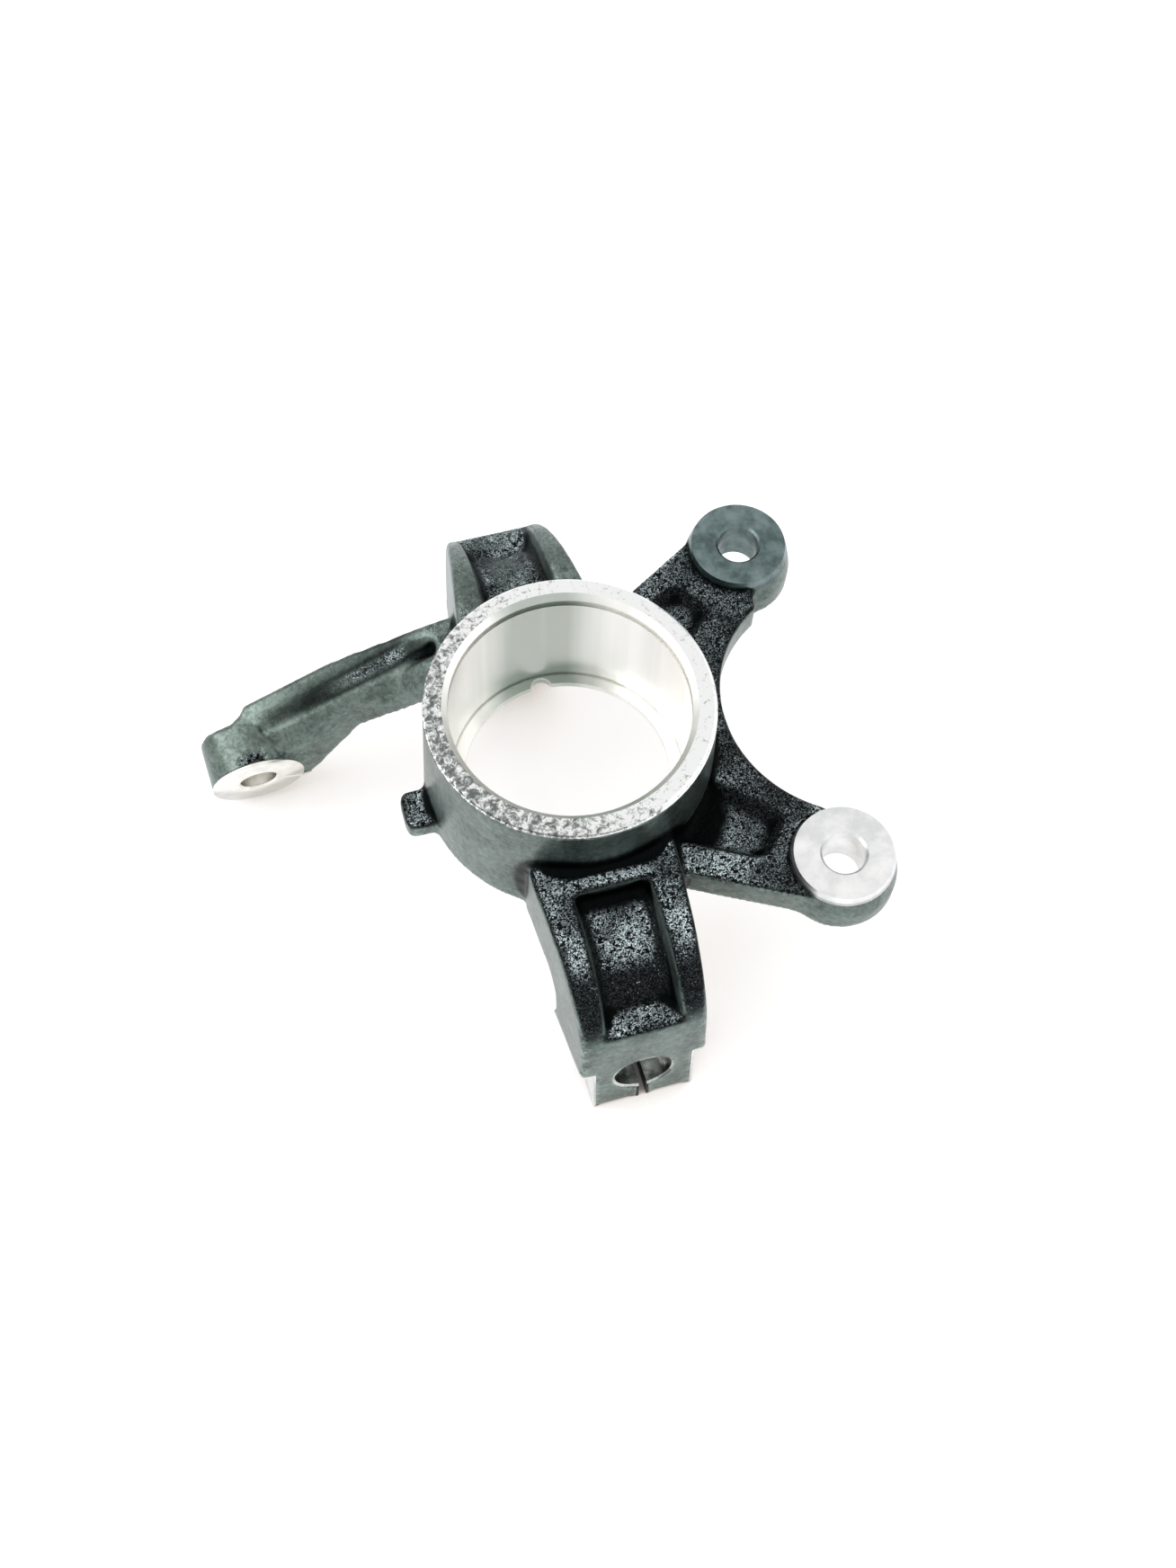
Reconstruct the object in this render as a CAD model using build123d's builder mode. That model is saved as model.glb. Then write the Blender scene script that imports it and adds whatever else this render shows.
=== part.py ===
# Front steering knuckle: one aluminium casting with machined seats.
# Frame: origin at the middle of the wheel bearing seat, +Z out of the bearing bore towards the
# wheel, +Y up the kingpin line, +X towards the brake caliper.  Millimetres.
from build123d import *
from math import cos, radians, sin, tan
import os

os.makedirs("parts", exist_ok=True)

# ---- wheel bearing housing -------------------------------------------------------------------
bearing_d = 72.0            # outer diameter of the double-row wheel bearing
bearing_w = 40.0            # width of that bearing
ring_groove_w = 2.65        # groove of the internal retaining ring
ring_groove_d = 75.0
ring_land = 2.0             # metal between the groove and the rim face
rim_d = 85.5                # machined rim
rim_band = 1.5              # height of the machined band on the outside of the rim
rim_step = 0.5              # the cast wall stands out from the machined band
rim_chamfer = 0.6
mouth_chamfer = 1.7
wall_draft = 2.0            # degrees
lip_d = 64.0                # opening inside the bearing shoulder
lip_t = 3.0                 # thickness of the shoulder lip
lip_chamfer = 0.8
undercut_h = 1.5            # relief in the corner of the seat
undercut_depth = 0.4
notch_r = 3.4               # puller notch in the lip
notch_reach = 31.4          # notch centre from the bore axis

# ---- caliper ears and the web between them ----------------------------------------------------
caliper_pitch_r = 89.2      # ear holes from the bore axis
caliper_half_angle = 38.7   # each ear from the middle line of the caliper
caliper_clock = -1.5        # middle line of the caliper from +X
ear_face_d = 30.0
ear_face_z = 2.0            # machined seat of the caliper
ear_band_h = 3.0            # height of the machined band around the seat
ear_band_d = 31.8
ear_boss_d = 34.4           # widest part of an ear, at its parting line
ear_parting = 9.0           # parting line below the seat
ear_t = 17.0                # thickness of an ear through its hole
ear_hole_d = 13.0
ear_hole_chamfer = 0.75
ear_spotface_d = 24.0       # bolt head seat on the inboard side
ear_spotface_depth = 2.5
web_top_z = -1.5
web_t = 12.5
web_waist = 49.2            # edge of the web from the bore axis, midway between the ears
web_edge_r = 42.0
web_edge_shift = -2.0       # centre of that edge across the middle line
upper_edge_angle = 32.0     # outer edge of each ear arm against the middle line
upper_edge_inset = 13.6     # and its distance from the ear's hole
lower_edge_angle = 26.0
lower_edge_inset = 14.9
web_edge_chamfer = 1.0
ear_pocket_depth = 4.5
ear_pocket_draft = 35.0
ear_pocket_round = 3.0
ear_pocket_root = 37.0      # pockets run out into the housing wall
upper_pocket_side = (55.8, 36.0)    # corners of each pocket: along and across the middle line
upper_pocket_tip = (47.2, 49.0)
upper_pocket_root = (22.0, 36.0)
lower_pocket_side = (58.3, -38.3)
lower_pocket_tip = (47.5, -51.5)
lower_pocket_root = (22.0, -38.5)

# ---- ball joint arms --------------------------------------------------------------------------
kingpin_offset = -1.2       # kingpin axis from the bore axis, along X
kingpin_inset = 53.9        # and inboard of the bearing middle
kingpin_angle = 5.0         # kingpin inclination
clamp_reach = 92.0          # outer face of each clamp from the bore axis
clamp_length = 24.0         # length of each ball stud bore
clamp_tip = 17.0            # from the stud axis to the foot of the clamp
stud_d = 18.0               # ball stud bore
stud_chamfer = 0.7
slit_w = 2.5
pinch_bolt_d = 8.5          # pinch bolt crosses the groove of the stud
pinch_bolt_drop = 10.5      # bolt axis from the stud axis
pinch_seat_w = 31.5         # across the two machined bolt seats
pinch_seat_top = 6.5        # top of the seats above the stud axis
arm_top_z = 3.0
lower_root_half = 22.4      # half width where an arm leaves the housing
upper_root_half = 23.0
lower_end_half = 18.5       # half width at the clamp, at the level of the arm's top
upper_end_half = 14.6
arm_side_draft = 1.5        # degrees
lower_elbow_r = 30.0
upper_elbow_r = 37.0
inner_elbow_r = 9.0
lower_edge_round = 2.0
upper_edge_round = 1.6
arm_pocket_depth = 8.0
arm_pocket_half = 12.0
arm_pocket_draft = 15.0
arm_pocket_start = 50.0     # from the bore axis
arm_pocket_round = 3.0
lower_pocket_end = 28.5     # end of the pocket above the stud axis
upper_pocket_end = 45.0

# ---- steering arm -----------------------------------------------------------------------------
tie_rod_x = -93.6           # centre of the machined seat
tie_rod_y = 40.4
tie_rod_z = -55.0
tie_rod_hole_d = 12.0
tie_rod_chamfer = 0.6
tie_rod_boss_d = 30.6
tie_rod_boss_length = 17.0
tie_rod_tilt = 8.3          # the seat looks outboard by this angle
tie_rod_turn = 2.8          # and away from the wheel centre by this one
steer_top_z = -3.0          # upper edge over the bore axis, bend and tie rod
steer_bend_x = -38.0
steer_bend_z = -11.0
steer_end_z = -39.0
steer_bend_r = 60.0
steer_foot_root_x = -36.0   # the lower edge leaves the housing here
steer_foot_x = -76.0        # and meets the tie rod boss here
steer_foot_z = -61.0
steer_root_y = 37.0         # front of the arm where it leaves the housing
steer_front_y = 45.5
steer_front_x = -58.0       # from here on the front runs square
steer_toe_y = 42.0          # front of the arm beside the machined seat
steer_back_y = 57.5
steer_rib_w = 4.5           # rib along the back, beside the trough
steer_trough_start_x = -30.0
steer_trough_end_x = -86.0
steer_trough_w = 7.5
steer_trough_depth = 3.5
steer_trough_draft = 30.0
steer_trough_round = 1.5

# ---- stop lug ---------------------------------------------------------------------------------
lug_reach = 53.0
lug_w = 13.5
lug_h = 7.0
lug_y = -2.0
lug_round = 3.0

# ---- positions that follow from the sizes -----------------------------------------------------
bore_r = bearing_d / 2
rim_r = rim_d / 2
seat_top = bearing_w / 2
shoulder_z = -bearing_w / 2
groove_top = seat_top + ring_groove_w
rim_z = groove_top + ring_land
base_z = shoulder_z - lip_t
wall_top_r = rim_r + rim_step
wall_base_r = wall_top_r + (rim_z - rim_band - base_z) * tan(radians(wall_draft))
in_wall = (bore_r + rim_r) / 2      # roots of the arms end inside the housing wall

hang = (Align.CENTER, Align.CENTER, Align.MAX)      # turned shapes hang below their location
caliper_plane = Plane.XY.rotated((0, 0, caliper_clock))
ear_x = caliper_pitch_r * cos(radians(caliper_half_angle))
ear_y = caliper_pitch_r * sin(radians(caliper_half_angle))


def clamp_plane(side):
    """Face of a clamp: x runs up the face, z runs out along the stud (side -1 lower, +1 upper)."""
    out = Vector(0, side * cos(radians(kingpin_angle)), -side * sin(radians(kingpin_angle)))
    up = Vector(0, sin(radians(kingpin_angle)), cos(radians(kingpin_angle)))
    height = -kingpin_inset - side * clamp_reach * tan(radians(kingpin_angle))
    return Plane(origin=(kingpin_offset, side * clamp_reach, height), x_dir=up, z_dir=out)


def on_face(side, up, out):
    """Point beside the clamp face, as it lies in the side view with Y across and Z up."""
    point = clamp_plane(side).from_local_coords(Vector(up, 0, out))
    return (point.Y, point.Z)


def on_face_at(side, height, out):
    """The same, for a point given by its height in the part."""
    plane = clamp_plane(side)
    up = (height - plane.origin.Z - out * plane.z_dir.Z) / plane.x_dir.Z
    return on_face(side, up, out)


side_view = Plane.YZ.offset(kingpin_offset)


def trough(path, section_plane, half, depth, draft, floor_round):
    """Open channel with drafted walls, swept along a line on the surface it is sunk into."""
    floor_half = half - depth * tan(radians(draft))
    with BuildPart() as channel:
        with BuildSketch(section_plane):
            with BuildLine():
                Polyline(
                    (-half, depth),
                    (-half, 0),
                    (-floor_half, -depth),
                    (floor_half, -depth),
                    (half, 0),
                    (half, depth),
                    close=True,
                )
            make_face()
            fillet(vertices().group_by(Axis.Y)[0], floor_round)
        sweep(path=path)
    return channel.part


def arm_pocket(side, elbow_r, pocket_end):
    """Body of the pocket along the outer side of an arm, ended above the stud."""
    with BuildLine(side_view) as outer_line:
        FilletPolyline(
            (side * in_wall, arm_top_z),
            on_face_at(side, arm_top_z, 0),
            on_face(side, -clamp_tip, 0),
            radius=elbow_r,
        )
    section = Plane(origin=outer_line.line @ 0, x_dir=(-side, 0, 0), z_dir=(0, side, 0))
    face = clamp_plane(side)
    with BuildPart() as pocket:
        add(
            trough(
                outer_line.line,
                section,
                arm_pocket_half,
                arm_pocket_depth,
                arm_pocket_draft,
                arm_pocket_round,
            )
        )
        split(bisect_by=Plane(origin=(0, side * arm_pocket_start, 0), z_dir=(0, side, 0)), keep=Keep.TOP)
        end_point = face.from_local_coords(Vector(pocket_end, 0, 0))
        split(bisect_by=Plane(origin=end_point, z_dir=face.x_dir), keep=Keep.TOP)
    return pocket.part


def beside_line(edges, line):
    """Edges that run beside a line drawn in the side view, where Y is across and Z is up."""
    return [
        edge
        for edge in edges
        if abs((edge % 0.5).X) < 0.7 and line.distance_to(Vertex((edge @ 0.5).Y, (edge @ 0.5).Z, 0)) < 0.01
    ]


def outside_wall(edge):
    """Whether both ends of an edge lie outside the housing."""
    return min(Vector((edge @ end).X, (edge @ end).Y).length for end in (0, 1)) > wall_base_r


def ball_joint_arm(side, root_half, end_half, elbow_r, edge_round, pocket_end):
    """Goose-neck arm: its side view cut to its plan view, then pocketed along its outer side."""
    beyond = clamp_reach + clamp_length
    far_half = end_half - (root_half - end_half) * clamp_length / (clamp_reach - in_wall)
    with BuildPart() as arm:
        with BuildSketch(side_view):
            with BuildLine():
                outer = FilletPolyline(
                    (side * in_wall, arm_top_z),
                    on_face_at(side, arm_top_z, 0),
                    on_face(side, -clamp_tip, 0),
                    radius=elbow_r,
                )
                inner = FilletPolyline(
                    on_face(side, -clamp_tip, -clamp_length),
                    on_face_at(side, base_z, -clamp_length),
                    (side * in_wall, base_z),
                    radius=inner_elbow_r,
                )
                Line(outer @ 1, inner @ 0)
                Line(inner @ 1, outer @ 0)
            make_face()
        extrude(amount=2 * root_half, both=True)
        with BuildSketch(Plane.XY.offset(arm_top_z)):
            with BuildLine():
                Polyline(
                    (kingpin_offset - root_half, side * in_wall),
                    (kingpin_offset - far_half, side * beyond),
                    (kingpin_offset + far_half, side * beyond),
                    (kingpin_offset + root_half, side * in_wall),
                    close=True,
                )
            make_face()
        extrude(amount=-2 * beyond, taper=-arm_side_draft, mode=Mode.INTERSECT)
        fillet(beside_line(arm.edges(), outer), edge_round)
        add(arm_pocket(side, elbow_r, pocket_end), mode=Mode.SUBTRACT)
    return arm.part


lower_arm = ball_joint_arm(
    -1, lower_root_half, lower_end_half, lower_elbow_r, lower_edge_round, lower_pocket_end
)
upper_arm = ball_joint_arm(
    1, upper_root_half, upper_end_half, upper_elbow_r, upper_edge_round, upper_pocket_end
)


def steering_trough(upper_edge):
    """Body of the trough along the upper edge of the steering arm, in front of the rib."""
    middle = steer_back_y - steer_rib_w - steer_trough_w / 2
    with BuildLine(Plane.XZ.offset(-middle)) as line:
        FilletPolyline(*upper_edge, radius=steer_bend_r)
    section = Plane(origin=line.line @ 0, x_dir=(0, -1, 0), z_dir=line.line % 0)
    with BuildPart() as channel:
        add(
            trough(
                line.line,
                section,
                steer_trough_w / 2,
                steer_trough_depth,
                steer_trough_draft,
                steer_trough_round,
            )
        )
        split(bisect_by=Plane.YZ.offset(steer_trough_start_x), keep=Keep.BOTTOM)
        split(bisect_by=Plane.YZ.offset(steer_trough_end_x), keep=Keep.TOP)
    return channel.part


def steering_arm():
    """Side view cut to the plan view, with a trough along the upper edge."""
    upper_edge = ((0, steer_top_z), (steer_bend_x, steer_bend_z), (tie_rod_x, steer_end_z))
    with BuildPart() as arm:
        with BuildSketch(Plane.XZ):
            with BuildLine():
                top = FilletPolyline(*upper_edge, radius=steer_bend_r)
                foot = Polyline(
                    (tie_rod_x, steer_foot_z),
                    (steer_foot_x, steer_foot_z),
                    (steer_foot_root_x, base_z),
                    (0, base_z),
                )
                Line(top @ 1, foot @ 0)
                Line(foot @ 1, top @ 0)
            make_face()
        extrude(amount=-2 * steer_back_y)
        with BuildSketch(Plane.XY):
            with BuildLine():
                Polyline(
                    (0, steer_root_y),
                    (steer_foot_root_x, steer_root_y),
                    (steer_front_x, steer_front_y),
                    (steer_foot_x + steer_front_y - steer_toe_y, steer_front_y),
                    (steer_foot_x, steer_toe_y),
                    (tie_rod_x, steer_toe_y),
                    (tie_rod_x, steer_back_y),
                    (0, steer_back_y),
                    close=True,
                )
            make_face()
        extrude(amount=2 * steer_foot_z, mode=Mode.INTERSECT)
        add(steering_trough(upper_edge), mode=Mode.SUBTRACT)
    return arm.part


tie_rod_plane = Plane(
    origin=(tie_rod_x, tie_rod_y, tie_rod_z),
    x_dir=(cos(radians(tie_rod_turn)), sin(radians(tie_rod_turn)), 0),
    z_dir=(
        sin(radians(tie_rod_turn)) * cos(radians(tie_rod_tilt)),
        -cos(radians(tie_rod_turn)) * cos(radians(tie_rod_tilt)),
        -sin(radians(tie_rod_tilt)),
    ),
)

with BuildPart() as knuckle:
    # bearing housing, turned about the bore axis
    with BuildSketch(Plane.XZ):
        with BuildLine():
            Polyline(
                (0, base_z),
                (wall_base_r, base_z),
                (wall_top_r, rim_z - rim_band),
                (rim_r, rim_z - rim_band),
                (rim_r, rim_z - rim_chamfer),
                (rim_r - rim_chamfer, rim_z),
                (0, rim_z),
                close=True,
            )
        make_face()
    revolve(axis=Axis.Z)

    # web between the ears, then the ears
    with BuildSketch(caliper_plane.offset(web_top_z)):
        with BuildLine():
            corners = []
            for side, angle, inset in (
                (-1, lower_edge_angle, lower_edge_inset),
                (1, upper_edge_angle, upper_edge_inset),
            ):
                along = Vector(cos(radians(angle)), side * sin(radians(angle)))
                beside = inset * Vector(-sin(radians(angle)), side * cos(radians(angle)))
                touch = Vector(ear_x, side * ear_y) + beside
                root = touch - along * (touch.X / along.X)
                corners.append((root, touch))
            Polyline(
                corners[0][0],
                corners[0][1],
                (ear_x, -ear_y),
                (ear_x, ear_y),
                corners[1][1],
                corners[1][0],
                close=True,
            )
        make_face()
        with Locations((web_waist + web_edge_r, web_edge_shift)):
            Circle(web_edge_r, mode=Mode.SUBTRACT)
    extrude(amount=-web_t)
    upper_edges = edges(Select.LAST).filter_by(Plane.XY).group_by(Axis.Z)[-1]
    chamfer(upper_edges.filter_by(outside_wall), web_edge_chamfer)
    for side in (-1, 1):
        with Locations(caliper_plane * Location((ear_x, side * ear_y, ear_face_z))):
            Cone(ear_band_d / 2, ear_face_d / 2, ear_band_h, align=hang)
        with Locations(caliper_plane * Location((ear_x, side * ear_y, ear_face_z - ear_band_h))):
            Cone(ear_boss_d / 2, ear_band_d / 2, ear_parting - ear_band_h, align=hang)
        with BuildSketch(caliper_plane.offset(ear_face_z - ear_parting)):
            with Locations((ear_x, side * ear_y)):
                Circle(ear_boss_d / 2)
        extrude(amount=ear_parting - ear_t)

    add(lower_arm)
    add(upper_arm)
    add(steering_arm())
    with BuildSketch(tie_rod_plane):
        Circle(tie_rod_boss_d / 2)
    extrude(amount=-tie_rod_boss_length)
    with BuildSketch(tie_rod_plane):
        Circle(tie_rod_boss_d)
    extrude(amount=steer_back_y - steer_toe_y, mode=Mode.SUBTRACT)

    # stop lug
    with BuildSketch(Plane.XY.offset(base_z)):
        with BuildLine():
            Polyline(
                (-in_wall, lug_y - lug_w / 2),
                (-lug_reach, lug_y - lug_w / 2),
                (-lug_reach, lug_y + lug_w / 2),
                (-in_wall, lug_y + lug_w / 2),
                close=True,
            )
        make_face()
        fillet(vertices().group_by(Axis.X)[0], lug_round)
    extrude(amount=lug_h)

    # ear pockets, open to the housing
    for root, tip, side_corner in (
        (lower_pocket_root, lower_pocket_tip, lower_pocket_side),
        (upper_pocket_root, upper_pocket_tip, upper_pocket_side),
    ):
        with BuildSketch(caliper_plane.offset(web_top_z)):
            with BuildLine():
                Polyline(root, tip, side_corner, (ear_pocket_root, root[1] / 2), close=True)
            make_face()
            fillet(vertices().sort_by(Axis.X)[-2:], ear_pocket_round)
        extrude(amount=-ear_pocket_depth, taper=ear_pocket_draft, mode=Mode.SUBTRACT)

    # bearing seat, shoulder lip, undercut and ring groove
    with BuildSketch(Plane.XZ):
        with BuildLine():
            Polyline(
                (0, base_z - 1),
                (lip_d / 2 + lip_chamfer, base_z - 1),
                (lip_d / 2 + lip_chamfer, base_z),
                (lip_d / 2, base_z + lip_chamfer),
                (lip_d / 2, shoulder_z),
                (bore_r + undercut_depth, shoulder_z),
                (bore_r + undercut_depth, shoulder_z + undercut_h),
                (bore_r, shoulder_z + undercut_h),
                (bore_r, seat_top),
                (ring_groove_d / 2, seat_top),
                (ring_groove_d / 2, groove_top),
                (bore_r, groove_top),
                (bore_r, rim_z - mouth_chamfer),
                (bore_r + mouth_chamfer, rim_z),
                (0, rim_z),
                close=True,
            )
        make_face()
    revolve(axis=Axis.Z, mode=Mode.SUBTRACT)
    with BuildSketch(Plane.XY.offset(shoulder_z)):
        with Locations((0, notch_reach)):
            Circle(notch_r)
    extrude(amount=-2 * lip_t, mode=Mode.SUBTRACT)

    # caliper bolt holes
    for side in (-1, 1):
        with Locations(caliper_plane * Location((ear_x, side * ear_y, ear_face_z))):
            Hole(ear_hole_d / 2)
            Cone(
                ear_hole_d / 2,
                ear_hole_d / 2 + ear_hole_chamfer,
                ear_hole_chamfer,
                align=hang,
                mode=Mode.SUBTRACT,
            )
        with BuildSketch(caliper_plane.offset(ear_face_z - ear_t)):
            with Locations((ear_x, side * ear_y)):
                Circle(ear_spotface_d / 2)
        extrude(amount=ear_spotface_depth, mode=Mode.SUBTRACT)

    # tie rod hole
    with Locations(tie_rod_plane):
        Hole(tie_rod_hole_d / 2, depth=2 * tie_rod_boss_length)
        Cone(
            tie_rod_hole_d / 2,
            tie_rod_hole_d / 2 + tie_rod_chamfer,
            tie_rod_chamfer,
            align=hang,
            mode=Mode.SUBTRACT,
        )

    # stud clamps: bore, slit, bolt seats and pinch bolt hole
    for side, end_half in ((-1, lower_end_half), (1, upper_end_half)):
        face = clamp_plane(side)
        with Locations(face):
            Cylinder(stud_d / 2, 2.2 * clamp_length, mode=Mode.SUBTRACT)
            Cone(stud_d / 2, stud_d / 2 + stud_chamfer, stud_chamfer, align=hang, mode=Mode.SUBTRACT)
        with BuildSketch(face):
            with Locations((-clamp_tip, 0)):
                Rectangle(2 * clamp_tip, slit_w)
            for edge in (-1, 1):
                with Locations((pinch_seat_top, edge * (pinch_seat_w + end_half) / 2)):
                    Rectangle(2 * clamp_tip, end_half, align=(Align.MAX, Align.CENTER))
        extrude(amount=clamp_length, both=True, mode=Mode.SUBTRACT)
        bolt = Plane(
            origin=face.from_local_coords(Vector(-pinch_bolt_drop, 0, -clamp_length / 2)),
            x_dir=face.x_dir,
            z_dir=face.y_dir,
        )
        with Locations(bolt):
            Cylinder(pinch_bolt_d / 2, 4 * end_half, mode=Mode.SUBTRACT)

knuckle.part.label = "steering_knuckle"
export_step(knuckle.part, "parts/steering_knuckle.step")
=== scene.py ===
"""Steering knuckle: dark coarse cast skin with bright machined seats, on a pale floor."""

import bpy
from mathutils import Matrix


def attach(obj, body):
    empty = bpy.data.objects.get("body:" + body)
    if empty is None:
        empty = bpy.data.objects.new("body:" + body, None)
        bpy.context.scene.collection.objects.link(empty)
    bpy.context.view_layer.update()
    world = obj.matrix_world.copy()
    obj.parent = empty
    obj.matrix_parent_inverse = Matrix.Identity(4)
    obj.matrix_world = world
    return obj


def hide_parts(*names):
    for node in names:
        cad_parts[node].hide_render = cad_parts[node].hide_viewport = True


bl_info = {
    "name": "Cast steering knuckle",
    "version": (1, 0, 0),
    "blender": (4, 5, 0),
    "location": "View3D > Sidebar > Knuckle",
    "description": "Cast skin and machined seats of a steering knuckle, with its floor, lights and camera",
    "category": "Object",
}

import math

import bpy
import numpy as np
from bpy.props import FloatProperty, FloatVectorProperty, PointerProperty
from mathutils import Matrix, Vector

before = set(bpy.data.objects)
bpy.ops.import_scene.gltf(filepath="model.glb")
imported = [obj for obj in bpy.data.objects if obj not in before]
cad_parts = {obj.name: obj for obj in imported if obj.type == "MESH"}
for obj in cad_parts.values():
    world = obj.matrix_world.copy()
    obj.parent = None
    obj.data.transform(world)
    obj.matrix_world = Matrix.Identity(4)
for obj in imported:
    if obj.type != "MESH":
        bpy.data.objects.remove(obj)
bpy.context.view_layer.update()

# Places of the machined surfaces, in millimetres, as the frame's solid has them.
BAND_Z = 23.15
BASE_Z = -23.0
BORE = dict(wall=37.6, mouth=1.4)
RIM = dict(inner=35.0, outer=43.3)
CALIPER = dict(pitch=89.2, half=38.7, clock=-1.5)
EAR = dict(face=15.95, hole=7.3, spot=12.0, top=2.0, step=-1.05, spot_top=-12.5, foot=-15.0)
KINGPIN = dict(offset=-1.2, inset=53.9, angle=5.0, reach=92.0, length=24.0)
CLAMP = dict(bore=9.7, slit=1.25, slit_end=-30.0, seat=15.75, shelf=6.5)
PINCH = dict(hole=4.25, down=10.5, back=12.0)
TIE_ROD = dict(centre=(-93.6, 40.4, -55.0), tilt=8.3, turn=2.8, radius=15.3, seat=17.0, hole=6.6, length=18.6)

# The steering arm's softer forms, in millimetres: its upper edge, its valley, its front and its back.
ARM = dict(root=-3.0, bend_x=-38.0, bend=-11.0, end_x=-93.6, end=-39.0, softness=1.0)
VALLEY = dict(depth=3.5, rib=55.5, bed=50.2, lip=49.5, fall=7.0, rate=0.05, power=1.5, over_seat=0.3)
FRONT = dict(start=-76.0, length=18.0, step=3.5)
BACK = dict(bow=2.8)

# The broken edge above the tie rod seat, in millimetres: its middle and its half widths.
CHIP = dict(across=0.4, above=15.0, back=1.5, wide=5.5, high=4.5, deep=4.0, sunk=1.9, lowest=8.0)

# How far the cast skin keeps from the machined surfaces, in millimetres.
CUT_REACH, SKIN_REACH, FIT_REACH = 0.1, 0.6, 2.2
BORE_DIP, CUT_DIP, LEAST_DIP = 1.0, 0.45, 0.2

# Rounds of evening out that find small hollows, and the deep corners.
SMALL_ROUNDS, DEEP_ROUNDS = 10, 90

# Material slot of every machined zone, from zone 0 on.
SLOT_OF_ZONE = np.array([0, 0, 1, 2, 3, 4, 5, 6, 3])

# The floor, in metres, and the camera's place with its turn as rows.
FLOOR_HALF, FLOOR_LEVEL, NEAR_FLOOR = 6.0, -0.0712, 0.07
CAMERA_PLACE = (-0.085192, -0.268172, 0.528771)
CAMERA_TURN = (
    (0.96162555, 0.23191245, -0.14660463),
    (-0.27299413, 0.86212405, -0.42686804),
    (0.02739536, 0.45050942, 0.89235125),
)


# ---- where the machined surfaces lie ----------------------------------------------------------
def ear_centres():
    """Both ear holes on the pitch circle, at the half angle each side of the caliper's line."""
    angles = np.radians([CALIPER["clock"] + CALIPER["half"], CALIPER["clock"] - CALIPER["half"]])
    return CALIPER["pitch"] * np.stack([np.cos(angles), np.sin(angles)], axis=1)


def clamp_coordinates(points, side):
    """Across, up and out from the stud's end: offsets from the clamp face along its own axes."""
    tilt = math.radians(KINGPIN["angle"])
    out = np.array([0, side * math.cos(tilt), -side * math.sin(tilt)])
    up = np.array([0, math.sin(tilt), math.cos(tilt)])
    reach = side * KINGPIN["reach"]
    origin = np.array([KINGPIN["offset"], reach, -KINGPIN["inset"] - reach * math.tan(tilt)])
    offset = points - origin
    return offset[:, 0], offset @ up, offset @ out


def tie_rod_axes():
    """Right along the tie rod's seat, and outwards from it: a level line turned, then tilted down."""
    tilt, turn = math.radians(TIE_ROD["tilt"]), math.radians(TIE_ROD["turn"])
    axis = np.array([math.sin(turn) * math.cos(tilt), -math.cos(turn) * math.cos(tilt), -math.sin(tilt)])
    return np.array([math.cos(turn), math.sin(turn), 0]), axis


def tie_rod_coordinates(points):
    """Radius from the tie rod's axis, and height above its seat."""
    _, axis = tie_rod_axes()
    offset = points - np.array(TIE_ROD["centre"])
    height = offset @ axis
    return np.linalg.norm(offset - height[:, None] * axis, axis=1), height


def machined_zones(points, reach):
    """Number of the machined surface within reach millimetres of each point, 0 for cast.

    1 bore, 2 rim, 3 upper ear, 4 lower ear, 5 tie rod seat, 6 clamp bores, 7 slits, 8 bolt seats. Each is
    told by the distance from its axis and the height along it; the first that fits a point keeps it.
    """
    x, y, z = points.T
    radius = np.hypot(x, y)
    zone = np.zeros(len(points), int)

    def mark(number, inside):
        """Gives the number to the points inside that have none yet."""
        zone[inside & (zone == 0)] = number

    past = max(reach - CUT_REACH, 0)
    mark(1, (radius < BORE["wall"] + reach) & (z > BASE_Z + 0.02 - past) & (z < BAND_Z + BORE["mouth"]))
    mark(2, (radius > RIM["inner"]) & (radius < RIM["outer"] + past) & (z > BAND_Z - reach))
    for number, (ear_x, ear_y) in zip((3, 4), ear_centres()):
        away = np.hypot(x - ear_x, y - ear_y)
        mark(number, (away < EAR["face"] + reach) & (z > EAR["step"]) & (z < EAR["top"] + reach))
        mark(number, (away < EAR["hole"] + reach) & (z > EAR["foot"] - reach) & (z < EAR["top"] + reach))
        mark(number, (away < EAR["spot"] + reach) & (z < EAR["spot_top"] + reach) & (z > EAR["foot"] + 0.02))
    away, height = tie_rod_coordinates(points)
    mark(5, (np.abs(height) < reach) & (away < TIE_ROD["seat"]))
    mark(5, (away < TIE_ROD["hole"] + reach) & (height < reach) & (height > -TIE_ROD["length"]))
    for side in (-1, 1):
        across, up, out = clamp_coordinates(points, side)
        within = (out < reach) & (out > -KINGPIN["length"] - reach)
        wide = np.abs(across)
        pinch = np.hypot(up + PINCH["down"], out + PINCH["back"])
        mark(6, within & (np.hypot(across, up) < CLAMP["bore"] + reach))
        mark(7, within & (wide < CLAMP["slit"] + reach) & (up < 0) & (up > CLAMP["slit_end"]))
        mark(6, within & (pinch < PINCH["hole"] + reach))
        mark(8, within & (np.abs(wide - CLAMP["seat"]) < reach) & (up < CLAMP["shelf"] + reach))
        mark(8, within & (np.abs(up - CLAMP["shelf"]) < reach) & (wide > CLAMP["seat"] - 0.15))
    return zone


# ---- meshes -----------------------------------------------------------------------------------
def merged_copy():
    """The casting as one closed mesh, with the frame's loose triangles joined at their corners."""
    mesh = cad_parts["steering_knuckle"].data.copy()
    piece = bpy.data.objects.new("casting_copy", mesh)
    bpy.context.scene.collection.objects.link(piece)
    weld = piece.modifiers.new("join", "WELD")
    weld.merge_threshold = 2e-6
    return finished(piece)


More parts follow.
